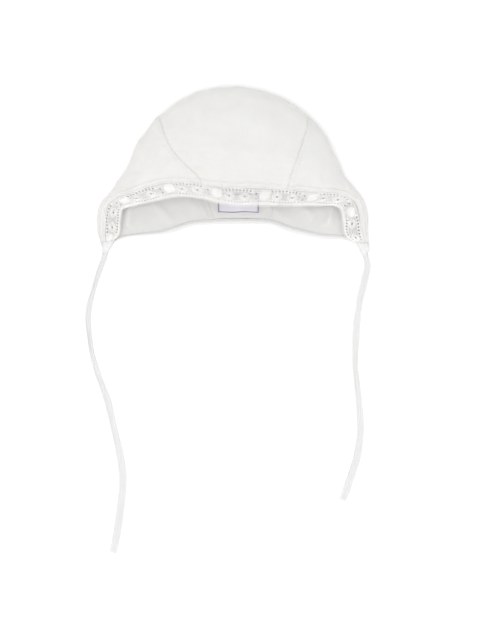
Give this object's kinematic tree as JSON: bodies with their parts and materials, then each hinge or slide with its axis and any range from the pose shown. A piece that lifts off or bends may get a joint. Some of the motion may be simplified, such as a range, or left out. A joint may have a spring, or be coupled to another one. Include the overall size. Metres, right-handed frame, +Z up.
{
  "type": "lace-trim baby bonnet",
  "caption": "Baby bonnet of fine white cotton lying on its back: seamed crown, pierced lace band along the face edge, bound neck edge, small inside label and flat ties spread below.",
  "frame": {"origin": "middle of the bonnet's base on the surface it lies on, without its ties", "axes": "+X across the bonnet from one tie corner to the other, +Y from the neck edge to the top of the crown, +Z up from the surface"},
  "size_m": [0.2127, 0.3491, 0.0432],
  "materials": {
    "cotton_cloth": "matte fine plain-weave cotton",
    "cotton_lace": "matte cotton lace thread",
    "cotton_tape": "matte folded cotton tape",
    "label_satin": "soft woven satin with a thin border, bare"
  },
  "bodies": {
    "root": {"crown_center_panel": "cotton_cloth", "side_panel_left": "cotton_cloth", "side_panel_right": "cotton_cloth", "lace_trim": "cotton_lace", "neck_binding": "cotton_tape", "label": "label_satin", "tie_left": "cotton_tape", "tie_right": "cotton_tape"}
  },
  "joints": []
}
